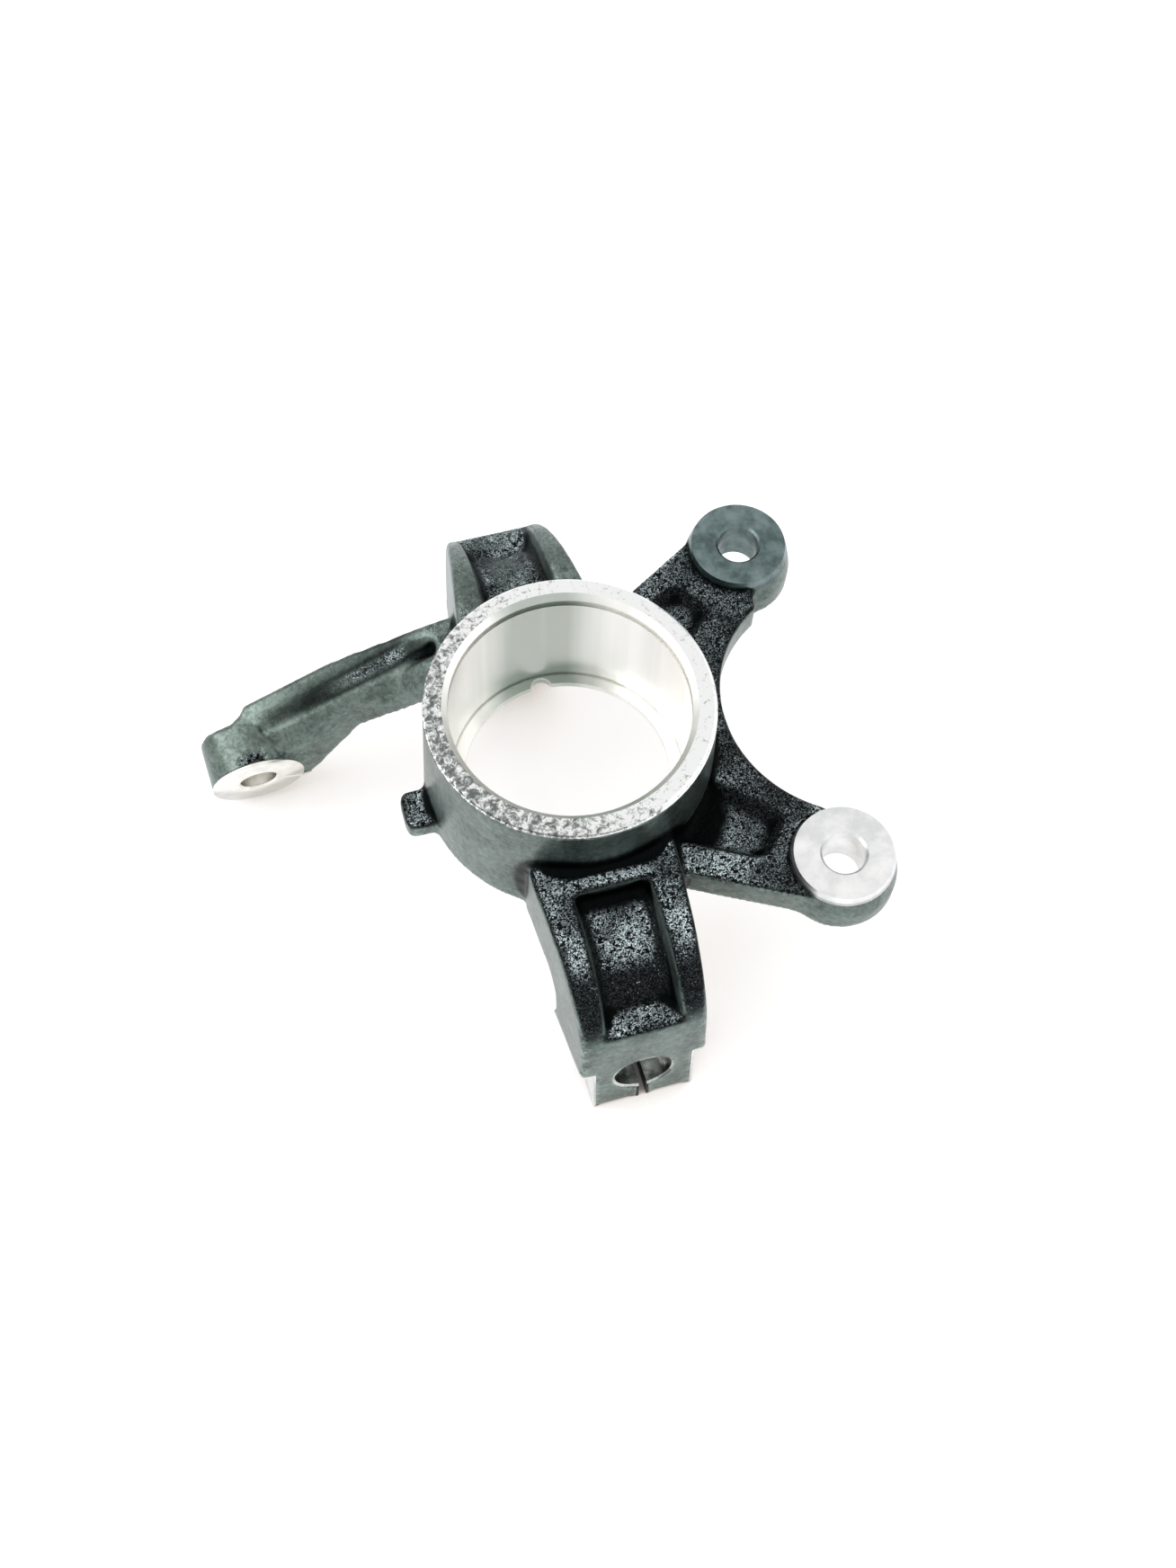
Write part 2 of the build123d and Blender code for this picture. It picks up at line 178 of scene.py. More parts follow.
def finished(piece):
    """The piece with its modifiers made part of its mesh."""
    bpy.context.view_layer.update()
    graph = bpy.context.evaluated_depsgraph_get()
    mesh = bpy.data.meshes.new_from_object(piece.evaluated_get(graph))
    piece.modifiers.clear()
    piece.data = mesh
    return piece


def corners(mesh):
    """Corner positions in millimetres, and the corner numbers of every triangle."""
    mesh.calc_loop_triangles()
    points = np.empty(len(mesh.vertices) * 3)
    mesh.vertices.foreach_get("co", points)
    triangles = np.empty(len(mesh.loop_triangles) * 3, int)
    mesh.loop_triangles.foreach_get("vertices", triangles)
    return points.reshape(-1, 3) * 1000, triangles.reshape(-1, 3)


def vertex_values(items, name="co"):
    """Three numbers of every vertex as an array, in the mesh's own unit."""
    values = np.empty(len(items) * 3)
    items.foreach_get(name, values)
    return values.reshape(-1, 3)


def ready(piece, *materials):
    """Puts the piece on the casting's body, in the casting's place, with its materials."""
    indices = np.empty(len(piece.data.polygons), np.int32)
    piece.data.polygons.foreach_get("material_index", indices)
    piece.data.materials.clear()
    for material in materials:
        piece.data.materials.append(material)
    piece.data.polygons.foreach_set("material_index", indices)
    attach(piece, "root")
    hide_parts("steering_knuckle")
    return piece


def point_attribute(mesh, name, values):
    """One number at every vertex, for the materials to read."""
    layer = mesh.attributes.new(name, "FLOAT", "POINT")
    layer.data.foreach_set("value", np.ascontiguousarray(values, dtype=np.float32))


def smooth_step(low, high, value):
    """0 below low, 1 above high, and an even S-curve between them."""
    share = np.clip((value - low) / (high - low), 0, 1)
    return share * share * (3 - 2 * share)


def arm_top(x):
    """Height of the steering arm's upper edge: the lower of two straight lines, their corner softened."""
    first = ARM["root"] + (ARM["bend"] - ARM["root"]) / ARM["bend_x"] * x
    second = ARM["bend"] + (ARM["end"] - ARM["bend"]) / (ARM["end_x"] - ARM["bend_x"]) * (x - ARM["bend_x"])
    return 0.5 * (first + second - np.sqrt((first - second) ** 2 + ARM["softness"]))


def softened_arm(points):
    """The casting's points, in millimetres, with the steering arm drawn softer.

    Nothing stands above a ceiling, which falls in an S-curve from the rib's top to the valley's bed,
    and further with the 1.5th power of the distance in front of it, but stays over the tie rod seat.
    The lower front runs straight to the boss, and the rib's back bows outwards in an even curve.
    """
    x, y, z = points.T
    top = arm_top(x)
    depth = top - z
    seat = np.sqrt(np.clip(TIE_ROD["radius"] ** 2 - (x - TIE_ROD["centre"][0]) ** 2, 0, None))
    before = np.clip(VALLEY["lip"] - y, 0, None) ** VALLEY["power"]
    ceiling = top - VALLEY["depth"] * smooth_step(VALLEY["rib"], VALLEY["bed"], y)
    ceiling = ceiling - VALLEY["fall"] * np.tanh(VALLEY["rate"] * before)
    ceiling = np.maximum(ceiling, TIE_ROD["centre"][2] + seat + VALLEY["over_seat"])
    along = smooth_step(-108, -98, x) * smooth_step(-33, -48, x)
    lowered = np.where((y > 37) & (y < VALLEY["rib"]), np.clip(z - ceiling, 0, None), 0) * along
    run = x - FRONT["start"]
    straight = FRONT["step"] * np.clip(run / FRONT["length"], 0, 1) - np.clip(run, 0, FRONT["step"])
    front = straight * smooth_step(54, 47, y) * smooth_step(4, 14, depth) * (y > 37)
    back = BACK["bow"] * smooth_step(-99, -93, x) * smooth_step(-36, -66, x)
    back = back * smooth_step(51.5, 55.5, y) * smooth_step(24, 12, depth) * (y < 62)
    return np.column_stack([x, y + front + back, z - lowered])


def chip(points):
    """1 in the broken edge above the tie rod seat.

    A stretched ball across the seat's top edge, whose outline is made wavy by a sum of three sines.
    """
    right, axis = tie_rod_axes()
    offset = points - np.array(TIE_ROD["centre"])
    across, above, back = offset @ right, offset @ np.cross(right, axis), offset @ -axis
    wave = np.sin(across * 1.7) + 0.8 * np.sin(across * 3.9 + back * 2.1) + 0.6 * np.sin(back * 4.3 + across)
    beside = (across - CHIP["across"]) / CHIP["wide"]
    over = (np.abs(above) - CHIP["above"]) / CHIP["high"]
    behind = (back - CHIP["back"]) / CHIP["deep"]
    away = np.sqrt(beside**2 + over**2 + behind**2)
    return smooth_step(1.0, 0.6, away + wave * 0.16) * (offset[:, 2] > CHIP["lowest"])


def valley_glint_band(points):
    """1 in the valley of the steering arm where painted glints show, a soft-edged band along it."""
    x, y, _ = points.T
    along = smooth_step(-72, -50, x) * smooth_step(-36, -42, x)
    return along * smooth_step(50.0, 51.2, y) * smooth_step(54.2, 53.0, y)


def satin_parts(points):
    """1 where even the upper sides are smooth and keep the walls' tone, without the painted black top and
    glints and with less painted shade: the steering arm, and the upper arm outside its pocket.
    """
    x, y, _ = points.T
    steering = smooth_step(-24, -32, x) * smooth_step(30, 36, y)
    upper = smooth_step(42, 56, y) * smooth_step(30, 26, np.abs(x))
    pocket = smooth_step(13, 11, np.abs(x - KINGPIN["offset"]))
    boss = smooth_step(-76, -88, x)
    steering = steering * (0.88 + 0.1 * boss) * (1 - 0.85 * valley_glint_band(points))
    return np.maximum(steering, upper * (0.85 - 0.55 * pocket))


def valley_shade(points, normals):
    """How dark the painted shade of the steering arm's valley is: deeper down the rib's slope, faint on the
    boss, 0 elsewhere.
    """
    x, y, _ = points.T
    depth = 0.6 * smooth_step(61, 56.5, y) + 0.3 * smooth_step(56.5, 53, y)
    depth = depth * (0.62 + 0.38 * smooth_step(-92, -62, x))
    along = smooth_step(-98, -84, x) * smooth_step(-24, -42, x) * smooth_step(0.1, 0.4, normals[:, 2])
    shade = (0.2 + 0.4 * depth) * along * smooth_step(44.8, 50.4, y) * (1 - 0.7 * valley_glint_band(points))
    return shade * (y > 36)


def skin_tones(points, normals, hollow, corner, chipped):
    """The four numbers that the cast finish reads at every point, by name.

    upward rises as the surface looks up and gives the black top tone, a painted shade; glint, the share of
    painted highlights, rises where it looks straight up or is the pocket's end.
    hollow and corner are the small and the wide hollows, which the finish darkens as painted shade; the
    valley, the housing's foot and the chip deepen them with painted shade; corner fades on the inboard sides
    of the two ball joint arms.
    """
    x, y, _ = points.T
    web = smooth_step(38, 48, x)
    satin = satin_parts(points)
    # Painted highlights: glints where the skin looks straight up, fewer on the web, and on the pocket's end
    # wall and the valley's band.
    shelf = smooth_step(0.9, 0.97, normals @ np.array([0, 0.5, 0.866]))
    glint = np.maximum(smooth_step(0.8, 0.99, normals[:, 2]) * (1 - 0.7 * web), shelf * 1.2)
    glint = np.maximum(glint, valley_glint_band(points))
    # Share of the black top tone, a painted shade where the skin looks up; the walls keep their lighter metal
    # tone.
    upward = smooth_step(0.2, 0.5, normals[:, 2]) * (1 - satin)
    # Weaker painted corner shade on the inboard sides of the two ball joint arms.
    inboard = -normals[:, 1] * np.sign(y) - normals[:, 2]
    corner = corner * (1 - smooth_step(0.3, 0.6, inboard) * smooth_step(34, 28, np.abs(x)))
    # Painted shade in the deep corner at the housing's foot, above the arms.
    foot = smooth_step(0.4, 1.1, corner) * smooth_step(60, 52, np.hypot(x, y)) * (1 - web)
    # The painted shade of the valley, the housing's foot and the chip, laid into the hollows.
    shade = np.maximum.reduce([valley_shade(points, normals), 0.6 * foot, 0.5 * chipped])
    # In the chip the skin takes the black top tone and dense glints: painted shade and painted highlights.
    return {
        "upward": np.maximum(upward, chipped),
        "glint": np.maximum(glint, chipped * 1.3),
        "hollow": np.where(shade > 0.1, np.maximum(hollow, shade), hollow * (1 - 0.8 * satin)),
        "corner": corner * (1 - 0.4 * satin),
    }


def hollows(mesh, points, normals, rounds):
    """How far each point lies below its evened-out surroundings, in millimetres.

    Every round moves each point to the mean of its neighbours; the answer is the way travelled
    along the normal, so it is above 0 in corners and pockets and below 0 on edges.
    """
    pairs = np.empty(len(mesh.edges) * 2, int)
    mesh.edges.foreach_get("vertices", pairs)
    first, second = pairs.reshape(-1, 2).T
    count = len(points)
    around = np.maximum(np.bincount(first, minlength=count) + np.bincount(second, minlength=count), 1)
    even = points.copy()
    for _ in range(rounds):
        for axis in range(3):
            total = np.bincount(first, even[second, axis], count)
            total = total + np.bincount(second, even[first, axis], count)
            even[:, axis] = total / around
    return ((even - points) * normals).sum(axis=1) * 1000


# ---- node helpers -----------------------------------------------------------------------------
class Nodes:
    """Short calls for building a material's node tree."""

    def __init__(self, name):
        """An empty node tree in a new material of this name."""
        self.material = bpy.data.materials.new(name)
        self.material.use_nodes = True
        self.tree = self.material.node_tree
        self.tree.nodes.clear()

    def add(self, kind, **settings):
        """A new node with its settings."""
        node = self.tree.nodes.new(kind)
        for key, value in settings.items():
            setattr(node, key, value)
        return node

    def link(self, source, target):
        """Joins a socket to an input, or writes a plain value straight into it."""
        if hasattr(source, "links"):
            self.tree.links.new(source, target)
        else:
            target.default_value = source

    def object_place(self, scale=(1, 1, 1)):
        """The point's place on the object, stretched by the scale."""
        mapping = self.add("ShaderNodeMapping")
        mapping.inputs["Scale"].default_value = scale
        self.link(self.add("ShaderNodeTexCoord").outputs["Object"], mapping.inputs["Vector"])
        return mapping.outputs["Vector"]

    def noise(self, place, scale, detail=2.0, roughness=0.5, distortion=0.0):
        """Fractal noise from 0 to 1 at the place."""
        node = self.add("ShaderNodeTexNoise")
        self.link(place, node.inputs["Vector"])
        node.inputs["Scale"].default_value = scale
        node.inputs["Detail"].default_value = detail
        node.inputs["Roughness"].default_value = roughness
        node.inputs["Distortion"].default_value = distortion
        return node.outputs["Fac"]

    def attribute(self, name):
        """One number from the mesh, by name."""
        return self.add("ShaderNodeAttribute", attribute_name=name).outputs["Fac"]

    def remap(self, value, low, high, to_low=0.0, to_high=1.0):
        """The value carried from one range to another in an S-curve, and held at its ends."""
        node = self.add("ShaderNodeMapRange", interpolation_type="SMOOTHSTEP")
        self.link(value, node.inputs["Value"])
        for key, number in (("From Min", low), ("From Max", high), ("To Min", to_low), ("To Max", to_high)):
            node.inputs[key].default_value = number
        return node.outputs["Result"]

    def math(self, operation, first, second=0.0):
        """One sum of two numbers or sockets."""
        node = self.add("ShaderNodeMath", operation=operation)
        self.link(first, node.inputs[0])
        self.link(second, node.inputs[1])
        return node.outputs[0]

    def blend(self, share, first, second):
        """The second colour over the first, by its share."""
        node = self.add("ShaderNodeMix", data_type="RGBA")
        self.link(share, node.inputs["Factor"])
        colours = [socket for socket in node.inputs if socket.type == "RGBA"]
        for source, target in zip((first, second), colours):
            self.link((*source, 1) if isinstance(source, (tuple, list)) else source, target)
        return next(socket for socket in node.outputs if socket.type == "RGBA")

    def bump(self, height, distance, strength=1.0, normal=None):
        """A normal tilted by the height, on top of another normal if given."""
        node = self.add("ShaderNodeBump")
        self.link(height, node.inputs["Height"])
        node.inputs["Distance"].default_value = distance
        self.link(strength, node.inputs["Strength"])
        if normal is not None:
            self.link(normal, node.inputs["Normal"])
        return node.outputs["Normal"]

    def surface(self, colour, roughness, metallic, normal=None):
        """The finished material."""
        shader = self.add("ShaderNodeBsdfPrincipled")
        self.link(colour, shader.inputs["Base Color"])
        self.link(roughness, shader.inputs["Roughness"])
        self.link(metallic, shader.inputs["Metallic"])
        if normal is not None:
            self.link(normal, shader.inputs["Normal"])
        self.link(shader.outputs[0], self.add("ShaderNodeOutputMaterial").inputs["Surface"])
        return self.material


def cast_finish(look):
    """Black skin with hard bright glints where it looks up, and grey-green satin on the drafted walls: the
    black is painted shade by facing, and the glints are painted highlights.

    Two noises make the lumps and crumbs of the grain. A glint is a thin line where the lumps cross their
    middle height, or the top of a high lump. The walls are clouded, lighter on their edges with a painted
    highlight, and black in their corners with painted shade; the hollows get painted shade too.
    """
    n = Nodes("cast_skin")
    upward, glint, hollow = n.attribute("upward"), n.attribute("glint"), n.attribute("hollow")
    place = n.object_place()
    lumps = n.noise(place, 1 / look.grain_size, 2.0, 0.6)
    crumbs = n.noise(place, 2.6 / look.grain_size, 2.0, 0.6)
    relief = n.math("ADD", n.math("MULTIPLY", lumps, 0.6), n.math("MULTIPLY", crumbs, 0.4))
    # Painted highlights: a glint tone in the colour, denser in random patches and where glint is high; the
    # same spots are metal.
    patches = n.remap(n.noise(place, 75, 3.0, 0.6), 0.36, 0.6, 0.25, 1.0)
    lit = n.math("MULTIPLY", glint, patches)
    lift = n.math("MULTIPLY", lit, 0.11)
    ridges = n.remap(n.math("ABSOLUTE", n.math("SUBTRACT", lumps, 0.5)), 0.015, 0.09, 1.0, 0.0)
    strands = n.math("MULTIPLY", ridges, n.remap(crumbs, 0.42, 0.6))
    lump_glints = n.remap(n.math("ADD", relief, lift), 0.6, 0.78)
    spark = n.math("MAXIMUM", n.math("MULTIPLY", strands, n.math("ADD", lit, 0.06)), lump_glints)
    # The painted glint tone over the black top tone.
    top = n.blend(spark, tuple(look.top_shade_colour), tuple(look.painted_glint_colour))
    clouds = n.remap(n.noise(place, 80, 6.0, 0.7), 0.3, 0.7)
    wrinkles = n.remap(n.noise(place, 560, 4.0, 0.7, 0.6), 0.34, 0.66)
    worn = n.math("ADD", n.math("MULTIPLY", clouds, 0.5), n.math("MULTIPLY", wrinkles, 0.5))
    # The lighter edge tone is a painted highlight on the walls' convex edges.
    darker, lighter, edge_highlight_tone = (tuple(c * share for c in look.wall_colour) for share in (0.4, 1.3, 1.55))
    wall = n.blend(worn, darker, lighter)
    edge_highlight = n.math("MULTIPLY", n.remap(hollow, -0.6, -0.2, 1.0, 0.0), n.remap(worn, 0.2, 0.7))
    edge = n.blend(edge_highlight, wall, edge_highlight_tone)
    # Painted shade: the walls go black in the deep corners.
    corner = n.remap(n.attribute("corner"), 0.05, 0.7)
    walls = n.blend(corner, edge, (0.006, 0.009, 0.008))
    # Painted shade by facing: the black, glinting top tone over the walls where the skin looks up.
    colour = n.blend(upward, walls, top)
    # Painted shade: near black in the small hollows, and where the valley, the housing's foot and the chip
    # are shaded.
    sunk = n.blend(n.remap(hollow, 0.2, 0.6), colour, (0.001, 0.002, 0.002))
    depth = n.bump(relief, look.grain_depth, n.remap(upward, 0, 1, 0.22, 1.0))
    swell = n.bump(n.noise(place, 160, 3.0), 0.0009, 0.35, depth)
    wall_metal = n.remap(upward, 0, 1, 0.9, 0.0)
    metal = n.math("MAXIMUM", n.math("MULTIPLY", spark, upward), wall_metal)
    shade = n.surface(sunk, 0.3, metal, swell)
    n.tree.nodes["Principled BSDF"].inputs["Specular IOR Level"].default_value = 0.03
    return shade


def machined_finish(name, colour, dark, roughness, blotch, scale):
    """Bright cut metal with soft blotches of a darker tone and fine tool marks.

    blotch is half the noise's range over which the tones blend, and scale is the noise's count a metre.
    """
    n = Nodes(name)
    place = n.object_place()
    patches = n.remap(n.noise(place, scale, 5.0, 0.62), 0.5 - blotch, 0.5 + blotch)
    tone = n.blend(patches, tuple(dark), tuple(colour))
    marks = n.bump(n.noise(n.object_place((1, 1, 6)), 1600, 2.0), 0.00004, 0.5)
    return n.surface(tone, roughness, 1.0, marks)


def bore_finish(dark, light):
    """Honed bore with fine rings round the axis: grey across its middle, with painted reflections that make
    it light at both sides and streaked along the axis.
    """
    n = Nodes("bore_satin")
    split = n.add("ShaderNodeSeparateXYZ")
    n.link(n.object_place(), split.inputs[0])
    # Painted reflections: lighter at both sides and in bands along the axis.
    sides = n.remap(n.math("ABSOLUTE", split.outputs["X"]), 0.006, 0.027)
    streaks = n.remap(n.noise(n.object_place((1, 1, 0.04)), 90, 3.0), 0.3, 0.7, -0.18, 0.18)
    tone = n.blend(n.math("ADD", sides, streaks), tuple(dark), tuple(light))
    rings = n.bump(n.noise(n.object_place((0.05, 0.05, 1)), 2600, 2.0), 0.00003, 0.4)
    return n.surface(tone, 0.3, 1.0, rings)


def rim_finish(dark, light):
    """Turned rim: bright, with small dull flecks that crowd together towards its left and front."""
    n = Nodes("rim_cut")
    place = n.object_place()
    split = n.add("ShaderNodeSeparateXYZ")
    n.link(place, split.inputs[0])
    across = n.math("ADD", split.outputs["X"], n.math("MULTIPLY", split.outputs["Y"], 0.3))
    crowd = n.remap(across, -0.045, 0.03, 0.1, -0.07)
    flecks = n.math("ADD", n.noise(place, 480, 6.0, 0.78, 0.5), crowd)
    tone = n.blend(n.remap(flecks, 0.48, 0.66), tuple(light), tuple(dark))
    marks = n.bump(n.noise(place, 900, 2.0), 0.00006, 0.5)
    return n.surface(tone, 0.26, 1.0, marks)


# ---- settings ---------------------------------------------------------------------------------
def tint(name, description, default):
    """A colour setting from its name, description and default."""
    return FloatVectorProperty(
        name=name, description=description, subtype="COLOR", size=3, min=0, max=1, default=default
    )


def length(name, description, default):
    """A length setting in metres from its name, description and default."""
    return FloatProperty(name=name, description=description, default=default, unit="LENGTH")


class CastSkinSettings(bpy.types.PropertyGroup):
    """Fineness, grain and tones of the cast skin"""

    voxel: length("Skin fineness", "Cell size of the remeshed skin", 0.001)
    grain_size: length("Grain size", "Width of the lumps in the skin", 0.0012)
    grain_depth: length("Grain depth", "Height of the lumps", 0.0006)
    # The top tone is painted shade: the black of the skin where it looks up.
    top_shade_colour: tint("Grain colour", "Tone between the glints", (0.003, 0.004, 0.004))
    # The glint tone is a painted highlight on the up-facing skin.
    painted_glint_colour: tint("Glint colour", "Tone of the bright grains", (0.7, 0.82, 0.85))
    wall_colour: tint("Wall colour", "Tone of the drafted walls", (0.157, 0.198, 0.178))


class MachinedSettings(bpy.types.PropertyGroup):
    """Depth and tones of the machined layer"""

    skirt: length("Skirt", "Depth of the cut layer under its surface", 0.0008)
    bright: tint("Bright metal", "Tone of the fresh cuts", (0.86, 0.87, 0.86))
    dull: tint("Dull metal", "Tone of the cuts in the clamps", (0.62, 0.65, 0.63))


class StageSettings(bpy.types.PropertyGroup):
    """Lens of the camera and tones of the floor"""

    lens: FloatProperty(name="Lens", description="Focal length of the camera", default=45.413, unit="CAMERA")
    floor: tint("Floor", "Tone of the floor as the lamps light it", (0.5, 0.55, 0.62))
    glow: tint("Floor glow", "Tone added to the open floor", (0.66, 0.61, 0.555))
    # The warm dim tone is a painted shadow on the floor close under the casting.
    painted_shadow_tone: tint("Shut-in floor", "Tone added to the floor close under the casting", (0.5, 0.36, 0.2))


# ---- operators --------------------------------------------------------------------------------
class KNUCKLE_OT_machined(bpy.types.Operator):
    """Cuts the machined surfaces out of the casting as a crisp layer of their own"""

    bl_idname = "knuckle.machined"
    bl_label = "Machined surfaces"

    def execute(self, context):
        look = context.scene.knuckle_machined
        copy = merged_copy()
        points, triangles = corners(copy.data)
        bpy.data.objects.remove(copy)
        zones = machined_zones(points[triangles].mean(axis=1), CUT_REACH)
        kept = zones > 0
        if not kept.any():
            raise RuntimeError("no machined surface was found on the casting")
        used, numbers = np.unique(triangles[kept], return_inverse=True)
        mesh = bpy.data.meshes.new("machined_surfaces")
        mesh.from_pydata(points[used] / 1000, [], numbers.reshape(-1, 3))
        mesh.update()
        mesh.polygons.foreach_set("material_index", SLOT_OF_ZONE[zones[kept]].astype(np.int32))
        mesh.polygons.foreach_set("use_smooth", np.ones(len(mesh.polygons), bool))
        mesh.set_sharp_from_angle(angle=math.radians(25))
        piece = bpy.data.objects.new("machined_surfaces", mesh)
        context.scene.collection.objects.link(piece)
        layer = piece.modifiers.new("layer", "SOLIDIFY")
        layer.thickness = look.skirt
        layer.offset = -1
        stained = tuple(c * 0.25 for c in look.dull)
        ready(
            piece,
            bore_finish(dark=(0.47, 0.51, 0.47), light=(0.93, 0.92, 0.89)),
            rim_finish(dark=(0.14, 0.155, 0.15), light=look.bright),
            # The upper ear's dark tone is a painted shade of the same cut metal as the lower ear.
            machined_finish("upper_ear_shaded_cut", (0.2, 0.26, 0.26), (0.07, 0.1, 0.1), 0.3, 0.22, 160),
            machined_finish("lower_ear_cut", (0.87, 0.87, 0.86), (0.66, 0.67, 0.67), 0.3, 0.2, 130),
            machined_finish("tie_rod_cut", (0.93, 0.91, 0.86), (0.76, 0.74, 0.69), 0.28, 0.25, 150),
            machined_finish("clamp_cut", look.dull, stained, 0.24, 0.12, 150),
            # The slits' near black tone is painted shade inside the narrow cut.
            machined_finish("slit_shade", (0.03, 0.035, 0.034), (0.008, 0.01, 0.01), 0.5, 0.2, 300),
        )
        return {"FINISHED"}


class KNUCKLE_OT_cast_skin(bpy.types.Operator):
    """Wraps the casting in a softly rounded skin that dips under every machined surface"""

    bl_idname = "knuckle.cast_skin"
    bl_label = "Cast skin"

    def execute(self, context):
        look = context.scene.knuckle_cast
        piece = merged_copy()
        piece.name = "cast_skin"
        self.remesh(piece, look.voxel * 0.8)
        finished(piece)
        points = vertex_values(piece.data.vertices)
        if not len(points):
            raise RuntimeError("the skin came out empty")
        piece.data.vertices.foreach_set("co", (softened_arm(points * 1000) / 1000).ravel())
        self.remesh(piece, look.voxel)
        soften = piece.modifiers.new("soften", "SMOOTH")
        soften.factor, soften.iterations = 0.5, 3
        finished(piece)
        self.fit_to_cuts(piece)
        mesh = piece.data
        points, normals = vertex_values(mesh.vertices), vertex_values(mesh.vertex_normals, "vector")
        hollow = hollows(mesh, points, normals, SMALL_ROUNDS)
        points = self.under_cuts(points, normals, hollow)
        corner = hollows(mesh, points, normals, DEEP_ROUNDS)
        chipped = chip(points * 1000)
        sunk = points - normals * (chipped * CHIP["sunk"] / 1000)[:, None]
        mesh.vertices.foreach_set("co", sunk.ravel())
        mesh.polygons.foreach_set("use_smooth", np.ones(len(mesh.polygons), bool))
        mesh.update()
        for name, values in skin_tones(points * 1000, normals, hollow, corner, chipped).items():
            point_attribute(mesh, name, values)
        ready(piece, cast_finish(look))
        return {"FINISHED"}

    def under_cuts(self, points, normals, hollow):
        """Sinks the skin under the machined surfaces, least where its own edges stand out."""
        zone = machined_zones(points * 1000, SKIN_REACH)
        flat = smooth_step(-0.4, -0.15, hollow)
        dip = np.where(zone == 1, BORE_DIP, CUT_DIP) * flat + LEAST_DIP * (1 - flat)
        return points - normals * (dip * (zone > 0) / 1000)[:, None]

    def remesh(self, piece, size):
        """An even net of cells of the given size round the piece."""
        skin = piece.modifiers.new("skin", "REMESH")
        skin.mode = "VOXEL"
        skin.voxel_size = size

    def fit_to_cuts(self, piece):
        """Draws the skin back onto the casting's own surface where it meets a machined one."""
        near = np.flatnonzero(machined_zones(vertex_values(piece.data.vertices) * 1000, FIT_REACH))
        group = piece.vertex_groups.new(name="near_cuts")
        group.add(near.tolist(), 1.0, "REPLACE")
        casting = merged_copy()
        wrap = piece.modifiers.new("fit", "SHRINKWRAP")
        wrap.target, wrap.vertex_group = casting, group.name
        finished(piece)
        bpy.data.objects.remove(casting)


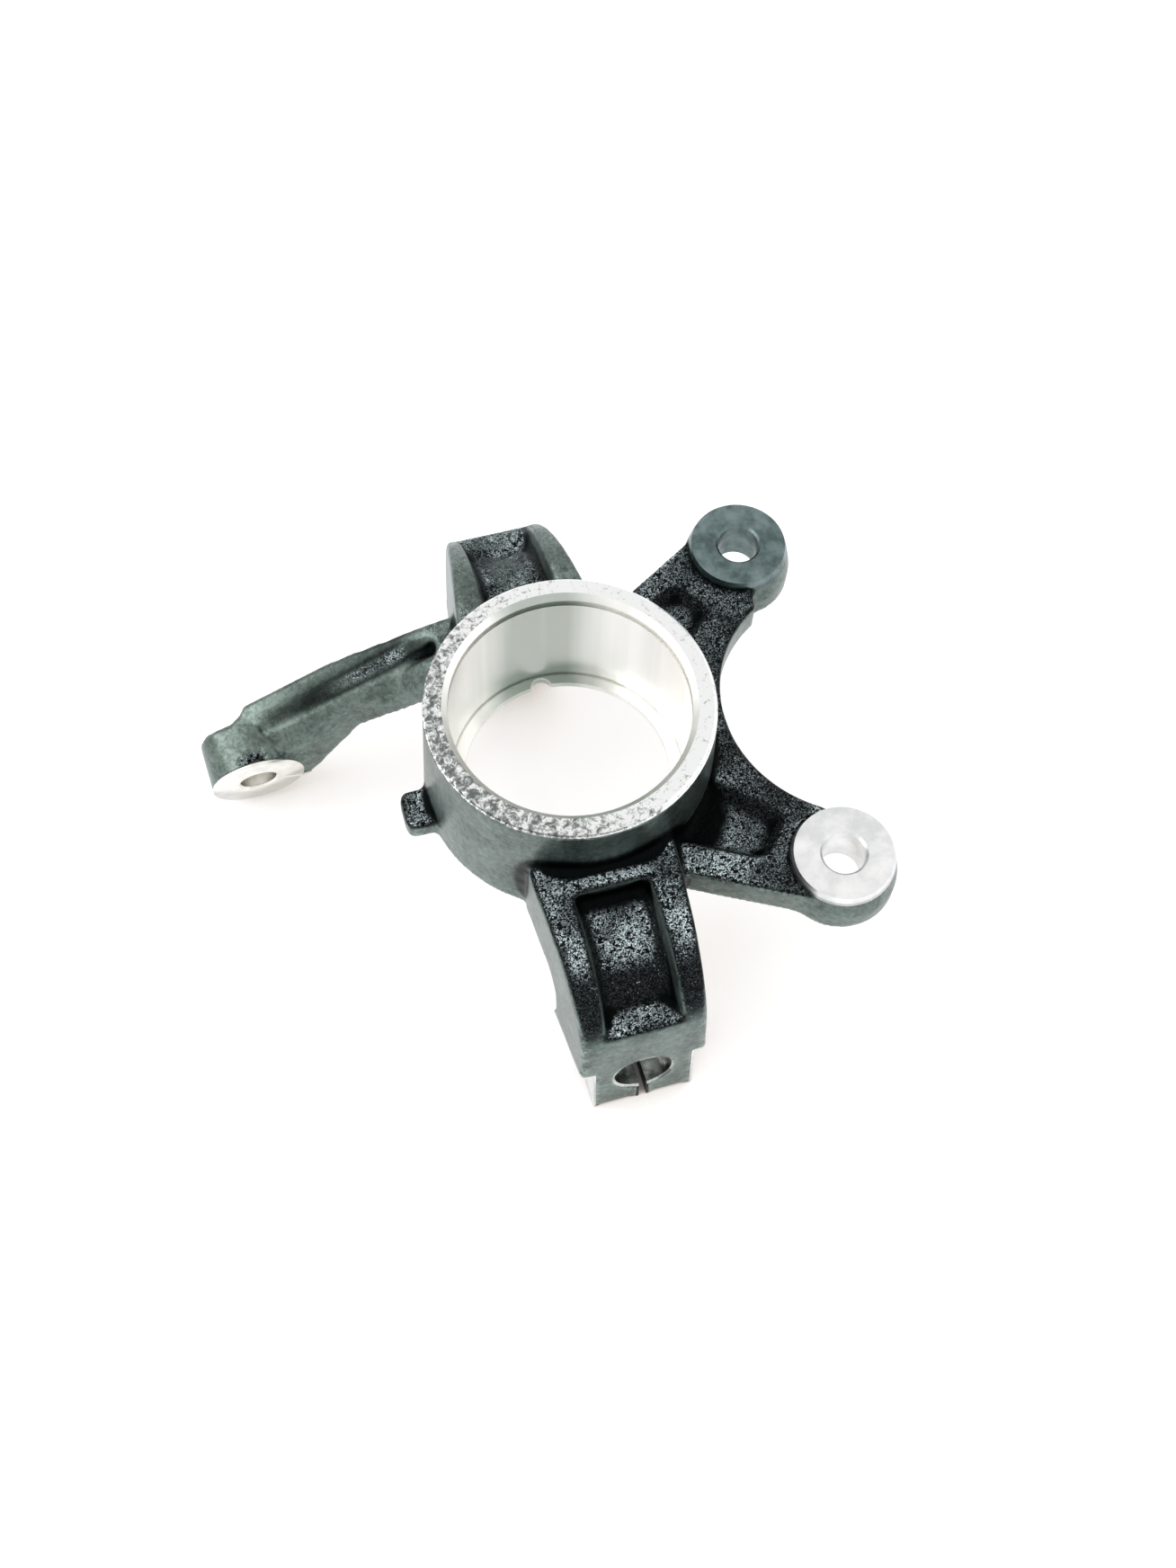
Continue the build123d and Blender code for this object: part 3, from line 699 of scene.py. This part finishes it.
class KNUCKLE_OT_stage(bpy.types.Operator):
    """Lays the floor under the clamps' feet and sets the lights, world and camera"""

    bl_idname = "knuckle.stage"
    bl_label = "Stage"

    def execute(self, context):
        look = context.scene.knuckle_stage
        self.floor(look)
        self.world()
        self.lights()
        self.camera(context, look)
        context.scene.view_settings.view_transform = "Standard"
        return {"FINISHED"}

    def floor(self, look):
        """A square plane through both clamp feet, turned by the kingpin angle about X.

        Its glow, seen only by the camera and in reflections, turns warm and dim close under the casting, a
        painted shadow, and grows brighter further from the middle.
        """
        side = np.array([[-1, -1], [1, -1], [1, 1], [-1, 1]]) * FLOOR_HALF
        height = FLOOR_LEVEL - side[:, 1] * math.tan(math.radians(KINGPIN["angle"]))
        mesh = bpy.data.meshes.new("floor")
        mesh.from_pydata(np.column_stack([side, height]), [], [(0, 1, 2, 3)])
        n = Nodes("floor_card")
        matt = n.add("ShaderNodeBsdfDiffuse")
        matt.inputs["Color"].default_value = (*look.floor, 1)
        path = n.add("ShaderNodeLightPath")
        seen = n.math("MAXIMUM", path.outputs["Is Camera Ray"], path.outputs["Is Glossy Ray"])
        away = n.add("ShaderNodeVectorMath", operation="LENGTH")
        n.link(n.object_place(), away.inputs[0])
        glow = n.add("ShaderNodeEmission")
        near = n.add("ShaderNodeAmbientOcclusion", samples=8)
        near.inputs["Distance"].default_value = NEAR_FLOOR
        # Painted shadow: where ambient occlusion finds the casting close, the glow takes the warm tone and
        # dims.
        open_share = n.remap(near.outputs["AO"], 0.2, 0.72)
        n.link(n.blend(open_share, tuple(look.painted_shadow_tone), tuple(look.glow)), glow.inputs["Color"])
        level = n.remap(away.outputs["Value"], 0.25, 0.9, 1.0, 1.3)
        level = n.math("MULTIPLY", n.remap(near.outputs["AO"], 0.1, 0.6), level)
        n.link(n.math("MULTIPLY", seen, level), glow.inputs["Strength"])
        both = n.add("ShaderNodeAddShader")
        n.link(matt.outputs[0], both.inputs[0])
        n.link(glow.outputs[0], both.inputs[1])
        n.link(both.outputs[0], n.add("ShaderNodeOutputMaterial").inputs["Surface"])
        mesh.materials.append(n.material)
        floor = bpy.data.objects.new("floor", mesh)
        bpy.context.scene.collection.objects.link(floor)

    def world(self):
        """White to the camera and in reflections, a plain level for everything else."""
        world = bpy.data.worlds.new("studio")
        world.use_nodes = True
        bpy.context.scene.world = world
        tree = world.node_tree
        tree.nodes.clear()
        path = tree.nodes.new("ShaderNodeLightPath")
        seen = path.outputs["Is Camera Ray"]
        for name in ("Is Glossy Ray", "Is Transmission Ray"):
            either = tree.nodes.new("ShaderNodeMath")
            either.operation = "MAXIMUM"
            tree.links.new(seen, either.inputs[0])
            tree.links.new(path.outputs[name], either.inputs[1])
            seen = either.outputs[0]
        plain, white = (tree.nodes.new("ShaderNodeBackground") for _ in range(2))
        plain.inputs["Strength"].default_value = 0.85
        plain.inputs["Color"].default_value = (1, 1, 1, 1)
        white.inputs["Strength"].default_value = 1.0
        white.inputs["Color"].default_value = (1, 1, 1, 1)
        mix = tree.nodes.new("ShaderNodeMixShader")
        tree.links.new(seen, mix.inputs[0])
        tree.links.new(plain.outputs[0], mix.inputs[1])
        tree.links.new(white.outputs[0], mix.inputs[2])
        tree.links.new(mix.outputs[0], tree.nodes.new("ShaderNodeOutputWorld").inputs["Surface"])

    def lights(self):
        """Soft squares of light, each aimed at the casting."""
        for name, place, size, power in (
            ("key_light", (-0.9, 0.25, 0.9), 1.2, 10.0),
            ("fill_light", (0.9, -0.3, 0.8), 1.2, 3.0),
        ):
            lamp = bpy.data.lights.new(name, "AREA")
            lamp.size, lamp.energy = size, power
            light = bpy.data.objects.new(name, lamp)
            light.location = place
            light.rotation_euler = (-Vector(place)).to_track_quat("-Z", "Y").to_euler()
            bpy.context.scene.collection.objects.link(light)

    def camera(self, context, look):
        """The view from above and in front; the turn's columns are right, up and back."""
        lens = bpy.data.cameras.new("camera")
        lens.sensor_fit, lens.sensor_height, lens.lens = "VERTICAL", 36, look.lens
        lens.clip_end = 10
        camera = bpy.data.objects.new("camera", lens)
        camera.matrix_world = Matrix.Translation(CAMERA_PLACE) @ Matrix(CAMERA_TURN).to_4x4()
        context.scene.collection.objects.link(camera)
        context.scene.camera = camera


class KNUCKLE_PT_panel(bpy.types.Panel):
    """Lists the pieces and their settings"""

    bl_idname = "KNUCKLE_PT_panel"
    bl_label = "Steering knuckle"
    bl_space_type = "VIEW_3D"
    bl_region_type = "UI"
    bl_category = "Knuckle"

    def draw(self, context):
        scene = context.scene
        for settings, operator in (
            (scene.knuckle_machined, KNUCKLE_OT_machined),
            (scene.knuckle_cast, KNUCKLE_OT_cast_skin),
            (scene.knuckle_stage, KNUCKLE_OT_stage),
        ):
            box = self.layout.box()
            for name in settings.bl_rna.properties.keys():
                if name not in ("rna_type", "name"):
                    box.prop(settings, name)
            box.operator(operator.bl_idname)


CLASSES = (
    CastSkinSettings,
    MachinedSettings,
    StageSettings,
    KNUCKLE_OT_machined,
    KNUCKLE_OT_cast_skin,
    KNUCKLE_OT_stage,
    KNUCKLE_PT_panel,
)


def register():
    """Makes the classes and their settings known."""
    for item in CLASSES:
        bpy.utils.register_class(item)
    bpy.types.Scene.knuckle_cast = PointerProperty(type=CastSkinSettings)
    bpy.types.Scene.knuckle_machined = PointerProperty(type=MachinedSettings)
    bpy.types.Scene.knuckle_stage = PointerProperty(type=StageSettings)


def unregister():
    """Takes them away again."""
    del bpy.types.Scene.knuckle_cast, bpy.types.Scene.knuckle_machined, bpy.types.Scene.knuckle_stage
    for item in reversed(CLASSES):
        bpy.utils.unregister_class(item)


def main():
    """Builds the pieces and the stage."""
    register()
    bpy.ops.knuckle.machined()
    bpy.ops.knuckle.cast_skin()
    bpy.ops.knuckle.stage()


if __name__ == "__main__":
    main()
